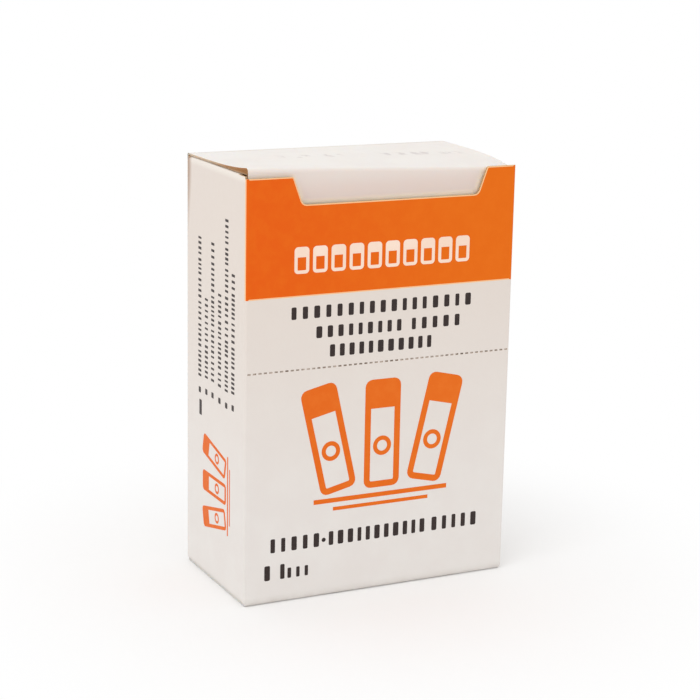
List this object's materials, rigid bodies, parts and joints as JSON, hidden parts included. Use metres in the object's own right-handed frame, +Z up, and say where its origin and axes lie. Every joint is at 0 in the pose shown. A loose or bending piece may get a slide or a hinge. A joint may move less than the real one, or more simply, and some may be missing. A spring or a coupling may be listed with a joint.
{
  "type": "microscope slide box",
  "caption": "Upright tuck-end carton of printed white board, packed with glass microscope slides on end; the lid is hinged at the back and its tuck flap shows in the thumb notch.",
  "frame": {"origin": "centre of the bottom, on the closing flap's underside", "axes": "+Z up, front panel faces -Y, lid hinged at +Y, right panel faces +X"},
  "size_m": [0.0548, 0.0288, 0.0816],
  "materials": {
    "printed_board": "smooth off-white folding board, orange band and dark print, slightly rubbed at the folds",
    "lid_board": "smooth off-white folding board, unprinted",
    "flap_board": "smooth off-white folding board, unprinted",
    "slide_glass": "clear soda-lime glass with cut, unground edges"
  },
  "bodies": {
    "carton": {"carton_body": "printed_board", "slide_01": "slide_glass", "slide_02": "slide_glass", "slide_03": "slide_glass", "slide_04": "slide_glass", "slide_05": "slide_glass", "slide_06": "slide_glass", "slide_07": "slide_glass", "slide_08": "slide_glass", "slide_09": "slide_glass", "slide_10": "slide_glass", "slide_11": "slide_glass", "slide_12": "slide_glass", "slide_13": "slide_glass", "slide_14": "slide_glass", "slide_15": "slide_glass", "slide_16": "slide_glass", "slide_17": "slide_glass", "slide_18": "slide_glass", "slide_19": "slide_glass", "slide_20": "slide_glass", "slide_21": "slide_glass", "slide_22": "slide_glass", "slide_23": "slide_glass", "slide_24": "slide_glass", "slide_25": "slide_glass", "slide_26": "slide_glass", "slide_27": "slide_glass", "slide_28": "slide_glass", "slide_29": "slide_glass", "slide_30": "slide_glass", "slide_31": "slide_glass", "slide_32": "slide_glass", "slide_33": "slide_glass", "slide_34": "slide_glass", "slide_35": "slide_glass", "slide_36": "slide_glass", "slide_37": "slide_glass", "slide_38": "slide_glass", "slide_39": "slide_glass", "slide_40": "slide_glass", "slide_41": "slide_glass", "slide_42": "slide_glass", "slide_43": "slide_glass", "slide_44": "slide_glass", "slide_45": "slide_glass", "slide_46": "slide_glass", "slide_47": "slide_glass", "slide_48": "slide_glass", "slide_49": "slide_glass", "slide_50": "slide_glass"},
    "lid": {"lid_panel": "lid_board"},
    "tuck": {"tuck_flap": "flap_board"}
  },
  "joints": [
    {"name": "lid_hinge", "type": "hinge", "parent": "carton", "child": "lid", "pos_m": [0, 0.01438, 0.0803], "axis": [-1, 0, 0], "range_deg": [0, 105]},
    {"name": "tuck_fold", "type": "hinge", "parent": "lid", "child": "tuck", "pos_m": [0, -0.01282, 0.07973], "axis": [-0.9992, 0, 0.0391], "range_deg": [-48, 0]}
  ],
  "couplings": [
    {"joint": "tuck_fold", "follows": "lid_hinge", "ratio": -0.45}
  ]
}
